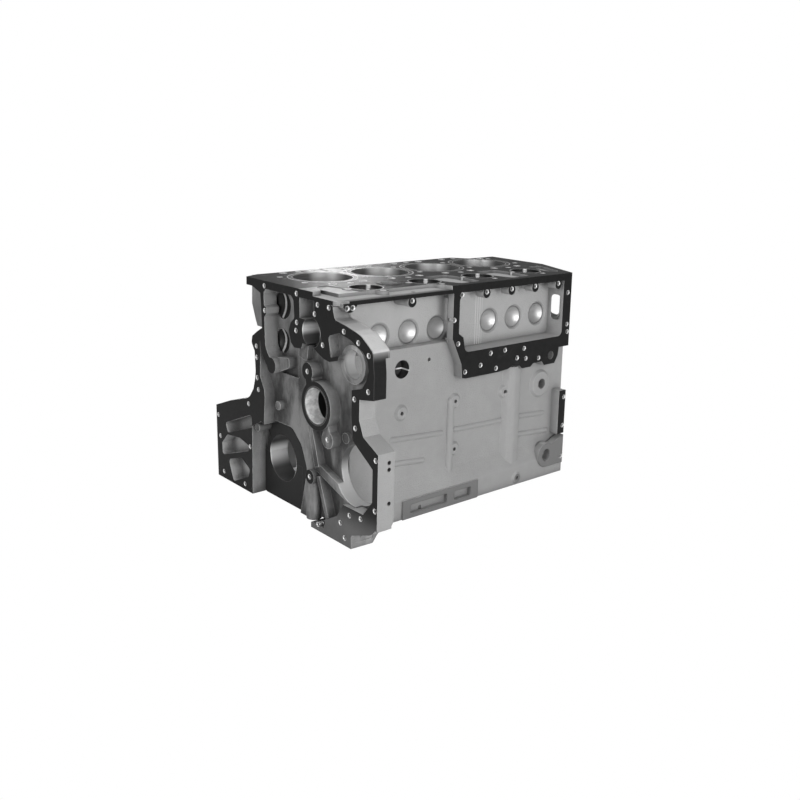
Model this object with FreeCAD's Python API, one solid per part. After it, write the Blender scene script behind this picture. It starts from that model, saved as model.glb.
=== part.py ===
import FreeCAD, Part
import math
import os

Vec = FreeCAD.Vector

# Bare four-cylinder in-line diesel engine block with its bearing caps, liners and plugs.
# X runs along the crankshaft from the gear-case end (-X) to the flywheel end (+X).
# Y = 0 is the plane of the cylinders, and the camshaft side is -Y.
# Z = 0 is the crankshaft axis. The origin is the centre of the middle main bearing.
# All sizes are in millimetres.

# ---- layout of the engine -------------------------------------------------------------
cylinders = 4
bore_radius = 54.0
liner_wall = 6.0
liner_flange_step = 2.5
liner_bridge = 5.0
deck_z = 320.0
rail_z = -80.0
front_overhang = 46.0
rear_overhang = 38.0

cam_y = -138.6
cam_z = 133.0
pump_y = -134.0
pump_shift = -7.0

# ---- walls and faces --------------------------------------------------------------------
near_rail_y = -197.0
near_flange_y = -200.0
near_panel_y = -162.0
near_wall_y = -180.0
panel_low_z = 218.0
flare_low_z = -44.0
flare_high_z = -12.0
far_wall_y = 90.0
far_deck_y = 95.0
far_skirt_y = 142.0
far_rail_y = 156.0
far_shoulder_z = 118.0
far_skirt_z = 66.0
rail_height = 14.0
pan_hole_radius = 3.5
deck_slab = 14.0
shelf_drop = 7.0
shelf_end_x = -66.0
deck_pocket_depth = 6.0
deck_edge_y = -88.0
band_boss_radius = 9.0
bead_radius = 6.0
bead_height = 3.5
boss_height = 5.0
boss_flare = 5.0
wall = 9.0
cover_thickness = 14.0

# ---- cylinders and water jacket ------------------------------------------------------------
liner_flange_height = 9.0
liner_length = 214.0
liner_end_gap = 4.0
jacket_low_z = 172.0
jacket_high_z = 301.0
jacket_half_width = 66.0
head_bolt_near_y = -75.0
head_bolt_far_y = 78.0
head_bolt_radius = 6.0
head_bolt_depth = 55.0
head_bolt_shift = 32.5
last_bolt_y = 50.0
jacket_end_gap = 11.0

# ---- crankcase -------------------------------------------------------------------------------
main_bore_radius = 42.0
web_thickness = 37.0
web_wall = 16.0
saddle_half_width = 84.0
saddle_top_z = 60.0
bay_near_y = -162.0
bay_far_y = 132.0
crank_bay_top_z = 136.0
web_foot_z = -44.0
rear_seal_radius = 62.0
seal_bolt_circle = 76.0
housing_hole_radius = 5.5
rib_height = 8.0
mount_pad_stations = (-75.0, 75.0)
mount_hole_x = 30.0
mount_hole_z = 26.0
mount_hole_radius = 6.0
cap_half_width = 60.0
cap_depth = 62.0
cap_thickness = 34.0
cap_side_gap = 0.05
cap_bolt_y = 50.0
cap_bolt_radius = 6.0
cap_bolt_head_radius = 10.4
cap_bolt_head_height = 12.0
cap_bolt_reach = 55.0
bolt_hole_gap = 0.8

# ---- camshaft and pumps ------------------------------------------------------------------------
cam_seat_radius = 33.0
cam_bush_wall = 3.0
cam_boss_radius = 41.0
pump_bore_radius = 22.5
pump_boss_radius = 34.0
pump_seat_radius = 28.0
pump_seat_depth = 6.0
pump_studs = ((-36.0, 1.0), (4.0, -41.0))
pump_stud_boss = 10.0
feed_bore_x = -137.0
feed_bore_y = -116.0
feed_bore_radius = 13.0
feed_bore_depth = 30.0
tappet_radius = 15.0
pump_chamber_low_z = 205.0
pump_chamber_high_z = 270.0
pump_chamber_half = 27.0
pump_stud_radius = 4.2
fit_gap = 0.1

# ---- front gear-case flange ----------------------------------------------------------------------
pad_depth = 27.0
floor_depth = 20.0
wing_depth = 33.0
near_wing_y = -303.0
far_wing_y = 191.0
drive_hole_y = -234.0
drive_hole_z = 39.0
drive_hole_radius = 49.0
idler_hole_y = -222.0
idler_hole_z = 217.0
idler_hole_radius = 23.0
idler_ring_radius = 31.0
idler_ring_depth = 8.0
filler_bore_y = -125.0
filler_bore_z = 253.0
filler_bore_radius = 25.0
filler_bore_depth = 58.0
front_hole_radius = 4.0
front_hole_depth = 18.0

# ---- plugs and small parts --------------------------------------------------------------------------
side_plug_radius = 21.0
side_plug_z = 240.0
front_plug_radius = 25.0
front_plug_low_radius = 21.5
rear_pocket_x = 226.0
plug_wall = 2.0
plug_depth = 9.0
plug_stand = 3.0
plug_seat_chamfer = 3.0
front_plug_stand = 3.0
front_plug_z = 278.0
front_plug_low_z = 214.0
far_plug_shift = -16.0


# ---- sizes that follow from the ones above ----------------------------------------------------
liner_flange_radius = bore_radius + liner_wall + liner_flange_step
pitch = 2.0 * liner_flange_radius + liner_bridge


# ---- stations along the engine -----------------------------------------------------------------------
def main_x(index):
    """Centre of main bearing web number index, counted from 0 at the gear-case end."""
    return (index - cylinders / 2.0) * pitch


def cylinder_x(index):
    """Axis of cylinder number index, counted from 0 at the gear-case end."""
    return (index - (cylinders - 1) / 2.0) * pitch


def pump_x(index):
    return cylinder_x(index) + pump_shift


front_x = main_x(0) - front_overhang
rear_x = main_x(cylinders) + rear_overhang
pad_x = front_x + pad_depth
floor_x = front_x + floor_depth
rear_corner_x = rear_x - 49.0
rear_step_x = rear_x - 70.0
rear_bevel_y = -80.0
cam_end_x = rear_corner_x + 3.0
rear_far_y = 63.0
shoulder_y = near_flange_y + 15.0
passage_low_z = side_plug_z - 12.0
passage_high_z = side_plug_z + 37.0
band_hole_z = deck_z - 18.0
band_stations = (-156.0, -42.0, 18.0, 82.0, 145.0, 210.0)


# ---- helpers --------------------------------------------------------------------------------------------
def on_x(x):
    return lambda u, v: Vec(x, u, v)


def on_y(y):
    return lambda u, v: Vec(u, y, v)


def on_z(z):
    return lambda u, v: Vec(u, v, z)


def closed_wire(corners, place):
    """Closed outline through (u, v) or (u, v, radius) corners, with tangent arcs at the radii."""
    count = len(corners)
    starts, middles, ends = [], [], []
    for index, corner in enumerate(corners):
        here = Vec(corner[0], corner[1], 0)
        back = Vec(*corners[index - 1][:2], 0) - here
        ahead = Vec(*corners[(index + 1) % count][:2], 0) - here
        radius = corner[2] if len(corner) > 2 else 0.0
        if radius <= 0.0:
            starts.append(here)
            middles.append(None)
            ends.append(here)
            continue
        half = back.getAngle(ahead) / 2.0
        back.normalize()
        ahead.normalize()
        cut = radius / math.tan(half)
        bisector = back + ahead
        bisector.normalize()
        starts.append(here + back * cut)
        middles.append(here + bisector * (radius / math.sin(half) - radius))
        ends.append(here + ahead * cut)
    edges = []
    for index in range(count):
        start, middle, end = starts[index], middles[index], ends[index]
        following = starts[(index + 1) % count]
        if middle is not None:
            edges.append(Part.Arc(place(start.x, start.y), place(middle.x, middle.y),
                                  place(end.x, end.y)).toShape())
        if (following - end).Length > 1e-6:
            edges.append(Part.makeLine(place(end.x, end.y), place(following.x, following.y)))
    return Part.Wire(edges)


def prism_x(corners, x0, x1):
    """Extrusion along X of an outline given in (Y, Z)."""
    return Part.Face(closed_wire(corners, on_x(x0))).extrude(Vec(x1 - x0, 0, 0))


def prism_y(corners, y0, y1):
    """Extrusion along Y of an outline given in (X, Z)."""
    return Part.Face(closed_wire(corners, on_y(y0))).extrude(Vec(0, y1 - y0, 0))


def prism_z(corners, z0, z1):
    """Extrusion along Z of an outline given in (X, Y)."""
    return Part.Face(closed_wire(corners, on_z(z0))).extrude(Vec(0, 0, z1 - z0))


def box(x0, x1, y0, y1, z0, z1):
    return Part.makeBox(x1 - x0, y1 - y0, z1 - z0, Vec(x0, y0, z0))


def rod_x(y, z, radius, x0, x1):
    return Part.makeCylinder(radius, x1 - x0, Vec(x0, y, z), Vec(1, 0, 0))


def rod_y(x, z, radius, y0, y1):
    return Part.makeCylinder(radius, y1 - y0, Vec(x, y0, z), Vec(0, 1, 0))


def rod_z(x, y, radius, z0, z1):
    return Part.makeCylinder(radius, z1 - z0, Vec(x, y, z0), Vec(0, 0, 1))


def rounded_rectangle(u0, u1, v0, v1, radius):
    return [(u0, v0, radius), (u1, v0, radius), (u1, v1, radius), (u0, v1, radius)]


def bar_between(start, end, width):
    """Corners of a straight bar of the given width between two (u, v) points."""
    along = Vec(end[0] - start[0], end[1] - start[1], 0)
    along.normalize()
    side = Vec(-along.y, along.x, 0) * (width / 2.0)
    a = Vec(start[0], start[1], 0)
    b = Vec(end[0], end[1], 0)
    return [(p.x, p.y) for p in (a + side, a - side, b - side, b + side)]


def bead_y(start, end, y, towards, radius, height):
    """Rounded rib on a wall at y between two (X, Z) points; towards is the way it stands out."""
    a = Vec(start[0], y + towards * (height - radius), start[1])
    b = Vec(end[0], y + towards * (height - radius), end[1])
    rib = Part.makeCylinder(radius, (b - a).Length, a, b - a)
    return rib.fuse([Part.makeSphere(radius, a), Part.makeSphere(radius, b)])


def flared_boss_y(x, z, radius, y, towards, height):
    """Round cast pad on a wall at y, wider at its foot."""
    return Part.makeCone(radius + boss_flare + 2.0, radius, height + 2.0,
                         Vec(x, y - towards * 2.0, z), Vec(0, towards, 0))


def fuse(shapes):
    return shapes[0].multiFuse(shapes[1:]).removeSplitter()


def one_solid(shape):
    """The only solid of a boolean result."""
    solids = shape.Solids
    if len(solids) != 1:
        raise ValueError("expected one solid and got %d" % len(solids))
    return solids[0]


# ---- casting: outer forms ---------------------------------------------------------------------------------
def plan_outline(near_y, far_y, far_chamfer):
    """Plan of the block at one level, with the bevelled rear corners."""
    bevel_slope = (rear_x - rear_corner_x) / (rear_bevel_y - near_flange_y)
    near_corner_x = rear_corner_x + (near_y - near_flange_y) * bevel_slope
    return [(pad_x, near_y), (near_corner_x, near_y), (rear_x, rear_bevel_y),
            (rear_x, rear_far_y), (rear_step_x, rear_far_y, 12.0), (rear_step_x - 24.0, far_y, 12.0),
            (pad_x + far_chamfer, far_y, 10.0), (pad_x, far_y - far_chamfer, 6.0)]


def rear_corner_cut():
    return prism_z([(rear_corner_x, near_flange_y), (rear_corner_x, near_flange_y - 20.0),
                    (rear_x + 20.0, near_flange_y - 20.0), (rear_x + 20.0, rear_bevel_y),
                    (rear_x, rear_bevel_y)], rail_z - 1.0, deck_z + 1.0)


def core_body():
    """Crankcase, cylinder and pump housing without its hollows."""
    upper = prism_z(plan_outline(near_panel_y, far_wall_y, 6.0), panel_low_z + 10.0, deck_z - 1.0)
    middle = prism_z(plan_outline(near_wall_y, far_wall_y, 22.0), 60.0, panel_low_z)
    bridge = prism_z(plan_outline(near_panel_y, far_wall_y, 22.0), panel_low_z - 1.0, panel_low_z + 11.0)
    skirt = prism_x([(near_rail_y, rail_z), (near_rail_y, flare_low_z, 14.0),
                     (near_wall_y, flare_high_z, 20.0), (near_wall_y, 61.0),
                     (far_wall_y - 20.0, far_shoulder_z + 20.0), (far_wall_y, far_shoulder_z),
                     (far_skirt_y, far_skirt_z, 20.0), (far_skirt_y, rail_z + rail_height),
                     (far_rail_y, rail_z + rail_height), (far_rail_y, rail_z)],
                    pad_x + 12.0, rear_x)
    shoulder = prism_x([(30.0, deck_z - 1.0), (93.0, deck_z - 1.0), (94.0, 268.0, 10.0),
                        (82.0, 240.0), (76.0, 229.0), (30.0, 229.0)], pad_x - 5.0, pad_x + 40.0)
    front_wall = prism_x([(-64.0, rail_z), (-60.0, 0.0), (-40.0, 60.0), (32.0, 60.0), (32.0, 160.0),
                          (-60.0, 160.0), (-60.0, 222.0), (near_wall_y + 4.0, 222.0),
                          (near_wall_y + 4.0, rail_z + 14.0), (-104.0, rail_z + 14.0),
                          (-104.0, rail_z)], floor_x, pad_x + 13.0)
    pad_outline = [(60.0, rail_z), (64.0, 0.0), (57.0, 2.0, 6.0), (44.0, 29.0, 20.0),
                   (32.0, 67.0, 6.0), (-40.0, 68.0, 20.0), (-69.0, 44.0, 30.0), (-86.0, 5.0, 20.0),
                   (-66.0, rail_z)]
    front_wall = front_wall.cut(prism_x(pad_outline, floor_x - 1.0, pad_x))
    bearing_wall = prism_x(pad_outline, pad_x, pad_x + 13.0)
    return [upper, bridge, middle, skirt.cut(rear_corner_cut()), shoulder,
            front_wall, bearing_wall]


def deck_plate():
    """Deck slab: machined top, and a lower cast shelf beside the first pumps."""
    low_z = deck_z - deck_slab
    shelf_z = deck_z - shelf_drop
    shelf = prism_z([(front_x, shoulder_y, 12.0), (front_x + 20.0, near_flange_y),
                     (shelf_end_x + 20.0, near_flange_y), (shelf_end_x + 20.0, 0.0),
                     (front_x, 0.0)], low_z, shelf_z)
    top = prism_z([(front_x, 76.0), (front_x, -129.0), (front_x + 16.0, -129.0, 6.0),
                   (front_x + 36.0, deck_edge_y, 14.0), (shelf_end_x - 30.0, deck_edge_y, 20.0),
                   (shelf_end_x, near_flange_y), (rear_corner_x, near_flange_y),
                   (rear_x, rear_bevel_y), (rear_x, rear_far_y), (rear_step_x, rear_far_y, 12.0),
                   (rear_step_x - 24.0, far_deck_y, 12.0), (front_x + 30.0, far_deck_y - 5.0)],
                  low_z, deck_z)
    pads = [rod_z(feed_bore_x, feed_bore_y, feed_bore_radius + 9.0, low_z, deck_z),
            prism_z([(feed_bore_x - 24.0, deck_edge_y + 4.0), (feed_bore_x - 20.0, feed_bore_y),
                     (feed_bore_x + 20.0, feed_bore_y), (feed_bore_x + 24.0, deck_edge_y + 4.0)],
                    low_z, deck_z)]
    for index in range(cylinders // 2):
        x = pump_x(index)
        pads.append(rod_z(x, pump_y, pump_boss_radius, low_z, deck_z))
        pads.append(prism_z([(x - 46.0, deck_edge_y + 2.0), (x - 40.0, -112.0, 8.0),
                             (x - 28.0, pump_y - 18.0), (x + 28.0, pump_y - 18.0),
                             (x + 40.0, -112.0, 8.0), (x + 46.0, deck_edge_y + 2.0)],
                            low_z, deck_z))
        for dx, dy in pump_studs:
            pads.append(rod_z(x + dx, pump_y + dy, pump_stud_boss, low_z, deck_z))
        pads.append(prism_z(bar_between((x, pump_y), (x + pump_studs[1][0], pump_y + pump_studs[1][1]),
                                        2.0 * pump_stud_boss), low_z, deck_z))
    return [shelf, top] + pads


def deck_pockets():
    """Shallow cast pockets of the deck between the pumps and beside the last one."""
    cuts = []
    low_z = deck_z - deck_pocket_depth
    for index in range(cylinders // 2, cylinders):
        middle = pump_x(index) - pitch / 2.0
        cuts.append(prism_z([(middle - 30.0, -92.0, 8.0), (middle + 22.0, -92.0, 8.0),
                             (middle + 27.0, -120.0, 8.0), (middle + 24.0, -184.0, 10.0),
                             (middle - 26.0, -186.0, 10.0), (middle - 36.0, -152.0, 10.0)],
                            low_z, deck_z + 1.0))
    last = pump_x(cylinders - 1)
    cuts.append(prism_z([(last + 50.0, -94.0, 8.0), (last + 86.0, -92.0, 8.0),
                         (last + 58.0, -166.0, 8.0), (last + 36.0, -184.0, 8.0),
                         (last + 34.0, -150.0, 8.0)], low_z, deck_z + 1.0))
    return cuts


# ---- casting: gear-case end -----------------------------------------------------------------------------------
def front_strips():
    """Machined gasket strips of the gear case, standing forward of the front wall."""
    back_x = pad_x + 2.0
    far_strip = [(74.0, 310.0), (55.0, 305.0), (30.0, 297.0), (28.0, 280.0), (25.0, 236.0),
                 (41.0, 227.0), (58.0, 216.0, 5.0), (60.0, 204.0, 5.0), (50.0, 190.0), (47.0, 154.0),
                 (49.0, 140.0), (55.0, 120.0), (68.0, 103.0), (84.0, 94.0), (84.0, 80.0),
                 (20.0, 62.0), (17.0, 112.0), (19.0, 126.0), (32.0, 148.0), (32.0, 165.0),
                 (31.0, 190.0), (33.0, 212.0), (27.0, 203.0), (22.0, 184.0), (6.0, 168.0),
                 (-6.0, 181.0), (8.0, 195.0), (14.0, 206.0), (16.0, 232.0), (17.0, 257.0),
                 (11.0, 263.0, 3.0), (11.0, 273.0, 3.0), (18.0, 277.0), (19.0, 298.0), (11.0, 310.0)]
    middle_bar = [(-58.0, 310.0), (-63.0, 308.0), (-73.0, 299.0, 8.0), (-76.0, 269.0, 8.0),
                  (-65.0, 260.0), (-59.0, 246.0, 8.0), (-66.0, 226.0), (-76.0, 219.0),
                  (-96.0, 221.0), (-101.0, 231.0), (-127.0, 231.0, 12.0), (-144.0, 222.0),
                  (-160.0, 216.0), (-160.0, 224.0, 6.0), (-152.0, 240.0), (-152.0, 262.0),
                  (-140.0, 274.0), (-134.0, 276.0), (-134.0, 272.0), (-92.0, 272.0), (-91.0, 310.0)]
    shoulder_pad = [(-133.0, 310.0), (-134.0, 274.0), (-152.0, 252.0), (-158.0, 216.0),
                    (-176.0, 214.0), (-204.0, 222.0), (-206.0, 230.0), (-180.0, 222.0),
                    (-172.0, 256.0, 8.0), (-202.0, 265.0), (-230.0, 259.0, 14.0), (-246.0, 252.0, 14.0),
                    (-262.0, 246.0, 14.0), (-273.0, 235.0, 10.0), (-276.0, 220.0, 10.0),
                    (-271.0, 203.0, 10.0), (-261.0, 189.0), (-235.0, 181.0), (-235.0, 137.0),
                    (-240.0, 100.0), (near_wing_y + 10.0, 66.0), (near_wing_y + 10.0, -24.0),
                    (near_wing_y, -30.0), (near_wing_y, 94.0), (near_wing_y + 37.0, 113.0), (-255.0, 137.0), (-255.0, 170.0),
                    (-290.0, 176.0), (-290.0, 215.0), (-286.0, 250.0, 10.0), (-272.0, 260.0),
                    (-256.0, 270.0, 20.0), (-243.0, 274.0), (-216.0, 280.0), (-190.0, 284.0, 8.0),
                    (-185.0, 296.0), (-184.0, 304.0), (-159.0, 311.0)]
    return [prism_x(outline, front_x, back_x) for outline in (far_strip, middle_bar, shoulder_pad)]


def near_wing():
    """Plate beside the crankcase that carries the accessory drive and the idler gear."""
    plate = prism_x([(near_wall_y + 20.0, 300.0), (-185.0, 296.0), (-188.0, 284.0, 6.0),
                     (-216.0, 280.0), (-256.0, 270.0, 20.0), (-286.0, 250.0, 10.0),
                     (-290.0, 176.0), (-255.0, 170.0), (-255.0, 137.0), (near_wing_y + 37.0, 113.0),
                     (near_wing_y, 94.0), (near_wing_y, -34.0, 30.0), (-240.0, -56.0, 20.0),
                     (-236.0, rail_z), (near_wall_y + 20.0, rail_z)], floor_x, front_x + wing_depth)
    side_rim = prism_x([(near_wing_y, 94.0), (near_wing_y, -34.0, 30.0), (-240.0, -56.0), (-240.0, -40.0),
                        (-270.0, -30.0, 20.0), (near_wing_y + 13.0, -10.0), (near_wing_y + 13.0, 88.0)],
                       front_x, pad_x + 2.0)
    low_pad = prism_x([(-160.0, -58.0), (-200.0, -36.0), (-216.0, -12.0), (-268.0, -12.0),
                       (near_wing_y + 9.0, 20.0), (near_wing_y, 0.0), (near_wing_y, -34.0, 30.0), (-240.0, -56.0),
                       (-240.0, -58.0)], front_x, pad_x + 1.0)
    return [plate, side_rim, low_pad]


def front_foot():
    """Foot under the near wing that closes the pan rail."""
    slab = prism_z([(front_x, -127.0), (front_x, -238.0), (front_x + 43.0, -240.0, 10.0),
                    (front_x + 65.0, -222.0, 20.0), (front_x + 89.0, -205.0),
                    (front_x + 89.0, -127.0)], rail_z, rail_z + 9.0)
    block = prism_x([(-160.0, rail_z), (-168.0, rail_z + 27.0), (-238.0, rail_z + 27.0),
                     (-238.0, rail_z)], front_x, front_x + 43.0)
    return [slab, block]


def front_bosses():
    """Cam boss, oil column, ribs and round pads on the front wall."""
    back_x = pad_x + 1.0
    cam = rod_x(cam_y, cam_z, cam_boss_radius, front_x, back_x)
    upper = rod_x(-114.0, 186.0, 15.0, front_x, back_x)
    neck = prism_x([(-106.0, 186.0), (-122.0, 186.0), (-132.0, 165.0), (-112.0, 160.0)],
                   front_x, back_x)
    lower = rod_x(-166.0, 82.0, 15.0, front_x + 4.0, back_x)
    low_neck = prism_x([(-150.0, 104.0), (-158.0, 84.0), (-176.0, 84.0), (-168.0, 108.0)],
                       front_x + 4.0, back_x)
    small = rod_x(-202.0, 92.0, 9.0, front_x + 14.0, back_x)
    plug_boss = rod_x(-4.0, 174.0, 14.0, front_x, back_x)
    side_stub = prism_x([(-4.0, 160.0), (-4.0, 188.0), (-45.0, 194.0, 6.0), (-45.0, 176.0, 6.0)],
                        front_x + 10.0, back_x)
    column = rod_z(front_x + 14.0, -116.0, 13.0, rail_z + 10.0, 7.0)
    column_web = box(front_x + 14.0, back_x, -127.0, -105.0, rail_z + 12.0, 5.0)
    column_head = rod_x(-122.0, 7.0, 12.0, front_x, back_x)
    rib_upper = prism_x(bar_between((-113.0, 94.0), (-134.0, 26.0), 12.0), front_x + 6.0, back_x)
    rib_thick = prism_x(bar_between((-130.0, 26.0), (-240.0, -10.0), 15.0), front_x + 8.0, back_x)
    rib_thin = prism_x(bar_between((-140.0, 12.0), (-170.0, -60.0), 8.0), front_x + 4.0, back_x)
    idler = rod_x(idler_hole_y, idler_hole_z, idler_ring_radius, floor_x - idler_ring_depth, back_x)
    wall_boss = rod_x(-13.0, 103.0, 8.0, front_x + 8.0, back_x)
    low_boss = rod_x(46.0, 50.0, 7.5, front_x + 2.0, back_x)
    bar_block = prism_x([(-77.0, 224.0), (-77.0, 203.0, 5.0), (-101.0, 199.0, 5.0), (-103.0, 226.0)],
                        front_x + 9.0, back_x)
    return [cam, upper, neck, lower, low_neck, small, plug_boss, side_stub, wall_boss, low_boss, bar_block,
            column, column_web,
            column_head, rib_upper, rib_thick, rib_thin, idler]


def far_wing():
    """Gear-case flange on the far side of the crankshaft."""
    outline = [(60.0, rail_z), (far_wing_y - 5.0, rail_z), (far_wing_y, 59.0), (136.0, 80.0), (89.0, 94.0),
               (76.0, 97.0), (20.0, 70.0), (60.0, 50.0)]
    return [prism_x(outline, front_x, front_x + wing_depth + 4.0)]


def front_cuts():
    """Hollows and bores of the gear-case end."""
    deep = pad_x + 60.0
    cuts = [rod_x(filler_bore_y, filler_bore_z, filler_bore_radius, front_x - 1.0,
                  front_x + filler_bore_depth),
            rod_x(drive_hole_y, drive_hole_z, drive_hole_radius, front_x - 1.0,
                  front_x + wing_depth + 1.0),
            rod_x(idler_hole_y, idler_hole_z, idler_hole_radius, front_x - 1.0,
                  front_x + wing_depth + 1.0)]
    cuts.append(box(front_x + 24.0, front_x + wing_depth + 1.0, near_wing_y - 1.0, near_wing_y + 41.0,
                    170.0, 238.0))
    for x, z in ((front_x + 22.0, 78.0), (front_x + 22.0, 67.0), (front_x + 23.0, 12.0)):
        cuts.append(rod_y(x, z, 3.5, near_wing_y - 1.0, near_wing_y + 11.0))
    pocket_depth = front_x + pad_depth - 3.0
    for outline in ([(156.0, 32.0, 6.0), (63.0, 70.0, 6.0), (60.0, 46.0, 4.0), (148.0, 14.0, 6.0)],
                    [(170.0, -11.0, 6.0), (150.0, 10.0, 8.0), (104.0, 15.0, 6.0), (70.0, 8.0, 4.0),
                     (73.0, -2.0, 4.0), (168.0, -34.0, 6.0)],
                    [(146.0, -37.0, 8.0), (128.0, -76.0, 6.0), (75.0, -52.0, 6.0),
                     (69.0, -36.0, 6.0), (99.0, -22.0, 8.0)]):
        cuts.append(prism_x(outline, front_x - 1.0, pocket_depth))
    return cuts


# ---- casting: near side ------------------------------------------------------------------------------------------
def near_side_forms():
    """Cooler cover flange, bars, columns, bosses and ribs of the camshaft side."""
    inner_y = near_wall_y + 2.0
    forms = []
    cover = [(-62.0, 226.0), (-60.0, 223.0), (-39.0, 179.0), (-36.0, 153.0), (-28.0, 151.0),
             (53.0, 151.0), (80.0, 153.0), (93.0, 158.0), (112.0, 155.0), (118.0, 149.0),
             (142.0, 149.0), (150.0, 155.0), (173.0, 155.0), (180.0, 147.0), (210.0, 147.0),
             (219.0, 162.0), (221.0, 177.0), (rear_corner_x, 177.0), (rear_corner_x, deck_z - 2.0),
             (-62.0, deck_z - 6.0)]
    cover_plate = prism_y(cover, near_flange_y, near_wall_y + 2.0)
    behind = box(-63.0, -46.5, near_flange_y + cover_thickness, near_wall_y + 3.0, 225.0, deck_z)
    forms.append(cover_plate.cut(behind))
    forms.append(box(rear_pocket_x, rear_corner_x - 1.0, near_wall_y, near_panel_y + 1.0, 176.0,
                     deck_z - deck_slab + 1.0))
    web = prism_z([(-61.0, near_flange_y + cover_thickness), (-43.0, near_panel_y - 2.0),
                   (-43.0, near_panel_y + 2.0), (14.0, near_panel_y + 2.0),
                   (0.0, near_panel_y - 17.0, 12.0), (-46.0, near_panel_y - 17.0),
                   (-46.0, near_flange_y + cover_thickness - 1.0),
                   (-61.0, near_flange_y + cover_thickness - 1.0)], panel_low_z,
                  deck_z - deck_slab + 1.0)
    forms.append(web)
    column = [(86.0, inner_y), (97.0, near_wall_y - 9.0, 14.0), (110.0, near_wall_y - 14.0, 16.0),
              (128.0, near_wall_y - 12.0, 12.0), (134.0, inner_y)]
    forms.append(prism_z(column, flare_low_z, 152.0))
    forms.append(bead_y((-43.0, -36.0), (-43.0, 108.0), near_wall_y, -1.0, 9.0, 6.0))
    forms.append(prism_y([(-166.0, rail_z), (14.0, rail_z), (14.0, -46.0), (-166.0, -46.0)],
                         near_flange_y, near_rail_y + 8.0))
    for x0, z0, x1, z1 in ((-179.0, 61.0, -64.0, 53.0), (-30.0, 53.0, 88.0, 49.0),
                           (134.0, 49.0, 205.0, 44.0), (134.0, 13.0, 218.0, 6.0),
                           (-178.0, 18.0, -106.0, 11.0)):
        forms.append(bead_y((x0, z0), (x1, z1), near_wall_y, -1.0, bead_radius, bead_height))
    for x, z, radius in ((-159.0, 106.0, 13.0), (-35.0, 107.0, 13.0), (92.0, 105.0, 13.0),
                         (-33.0, 18.0, 12.0), (192.0, 105.0, 26.0)):
        forms.append(flared_boss_y(x, z, radius - 3.0, near_wall_y, -1.0, boss_height))
    for x in band_stations[:2]:
        forms.append(rod_y(x, band_hole_z - 2.0, band_boss_radius, near_flange_y, near_panel_y + 1.0))
    forms.append(prism_y([(front_x + 8.0, deck_z - 10.0), (front_x + 8.0, deck_z - 16.0),
                          (front_x + 22.0, deck_z - 30.0, 10.0), (front_x + 40.0, deck_z - 10.0)],
                         near_flange_y, near_panel_y + 1.0))
    forms.append(prism_y([(230.0, 88.0), (230.0, 0.0), (254.0, 0.0), (254.0, 88.0, 8.0)],
                         near_flange_y, inner_y).cut(rear_corner_cut()))
    forms.append(flared_boss_y(120.0, -66.0, 8.0, near_rail_y, -1.0, 3.0))
    crescent = rod_y(201.0, -37.0, 24.0, near_flange_y, near_rail_y + 12.0)
    forms.append(crescent)
    forms.append(prism_y([(201.0, -61.0), (rear_corner_x, -61.0), (rear_corner_x, -4.0),
                          (214.0, -17.0)], near_flange_y, near_rail_y + 12.0))
    return forms


# ---- casting: hollows ------------------------------------------------------------------------------------------------
def bay_outline():
    """Section of one crankcase bay, open at the pan rail."""
    return [(near_rail_y + 14.0, rail_z - 1.0), (near_rail_y + 14.0, flare_low_z, 10.0),
            (bay_near_y, flare_high_z, 20.0), (bay_near_y, 70.0, 20.0),
            (-jacket_half_width - 24.0, 96.0, 10.0), (-jacket_half_width, crank_bay_top_z, 16.0),
            (jacket_half_width, crank_bay_top_z, 16.0), (bay_far_y, far_skirt_z, 20.0),
            (bay_far_y, rail_z - 1.0)]


def crankcase_hollows():
    """Bays between the bearing webs and the common space under them."""
    cuts = []
    for index in range(cylinders):
        x0 = main_x(index) + (web_thickness if index == 0 else web_wall) / 2.0
        x1 = main_x(index + 1) - (web_thickness if index == cylinders - 1 else web_wall) / 2.0
        cuts.append(prism_x(bay_outline(), x0, x1))
        cuts.append(prism_x([(near_wall_y + wall, 98.0, 10.0), (near_wall_y + wall, 168.0, 14.0),
                             (cam_y + 34.0, 168.0, 14.0), (cam_y + 34.0, 98.0, 10.0)], x0, x1))
    low_space = [(near_rail_y + 14.0, rail_z - 1.0), (near_rail_y + 14.0, flare_low_z, 10.0),
                 (-150.0, web_foot_z), (bay_far_y, web_foot_z), (bay_far_y, rail_z - 1.0)]
    cuts.append(prism_x(low_space, main_x(0) + web_thickness / 2.0,
                        main_x(cylinders) - web_thickness / 2.0))
    return cuts


def bearing_saddles():
    """Thick parts of the inner webs around the crankshaft and the camshaft."""
    forms = []
    for index in range(1, cylinders):
        x0 = main_x(index) - web_thickness / 2.0
        x1 = main_x(index) + web_thickness / 2.0
        forms.append(prism_x([(-saddle_half_width, web_foot_z), (-saddle_half_width, 16.0, 20.0),
                              (-cap_half_width, saddle_top_z, 24.0),
                              (cap_half_width, saddle_top_z, 24.0), (saddle_half_width, 16.0, 20.0),
                              (saddle_half_width, web_foot_z)], x0, x1))
        forms.append(rod_x(cam_y, cam_z, cam_boss_radius - 1.0, x0, x1))
    return forms


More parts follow.
